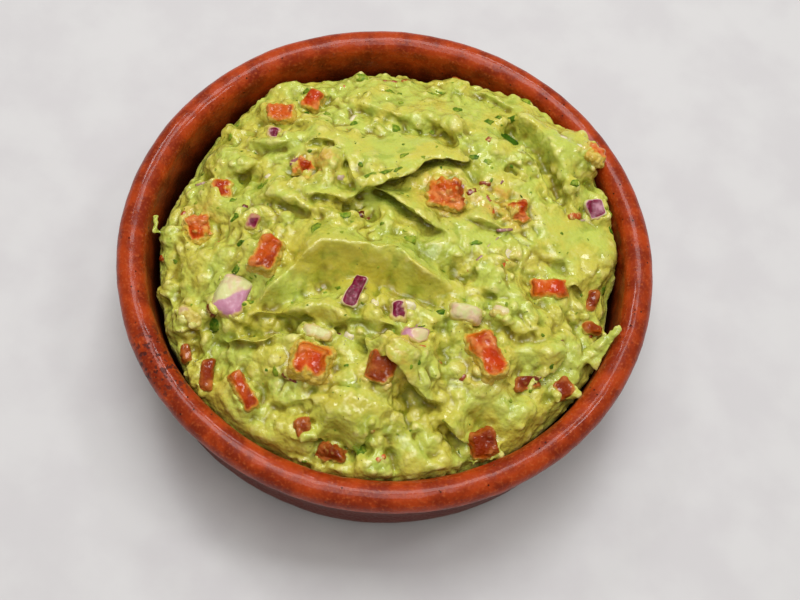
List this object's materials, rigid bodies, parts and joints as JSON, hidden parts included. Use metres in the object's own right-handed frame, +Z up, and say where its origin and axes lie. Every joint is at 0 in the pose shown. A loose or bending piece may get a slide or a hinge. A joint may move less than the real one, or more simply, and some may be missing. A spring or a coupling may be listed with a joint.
{
  "type": "guacamole in a terracotta dish",
  "caption": "Heap of chunky guacamole with diced tomato and red onion, folded by a spoon, in a shallow round glazed terracotta dish with a rolled lip.",
  "frame": {"origin": "on the table, under the middle of the dish", "axes": "+Z up, the front of the heap towards -Y as it is served, +X to the right"},
  "size_m": [0.16, 0.16, 0.0556],
  "materials": {
    "glazed_terracotta": "gloss",
    "crushed_avocado": "wet",
    "tomato": "wet",
    "red_onion": "wet"
  },
  "bodies": {
    "root": {"dish": "glazed_terracotta", "guacamole": "crushed_avocado", "tomato_far_left_low": "tomato", "tomato_far_left_high": "tomato", "tomato_left_upper": "tomato", "tomato_left_lower": "tomato", "tomato_left_wedge": "tomato", "tomato_front_cube": "tomato", "tomato_strip": "tomato", "tomato_small_front": "tomato", "tomato_dark": "tomato", "tomato_long": "tomato", "tomato_right": "tomato", "tomato_under_sheet": "tomato", "tomato_centre_right": "tomato", "tomato_far_right": "tomato", "tomato_near_lip": "tomato", "tomato_at_front": "tomato", "tomato_left_front": "tomato", "tomato_right_edge": "tomato", "tomato_edge_strip": "tomato", "tomato_right_hollow": "tomato", "tomato_left_wall": "tomato", "tomato_under_cheek": "tomato", "tomato_beside_sheet": "tomato", "red_onion_purple_bar": "red_onion", "red_onion_left_big": "red_onion", "red_onion_left_small": "red_onion", "red_onion_right": "red_onion", "red_onion_centre": "red_onion", "red_onion_pink": "red_onion", "red_onion_white": "red_onion", "red_onion_pale": "red_onion", "red_onion_over_cube": "red_onion", "red_onion_far_left": "red_onion", "red_onion_dark": "red_onion"}
  },
  "joints": []
}
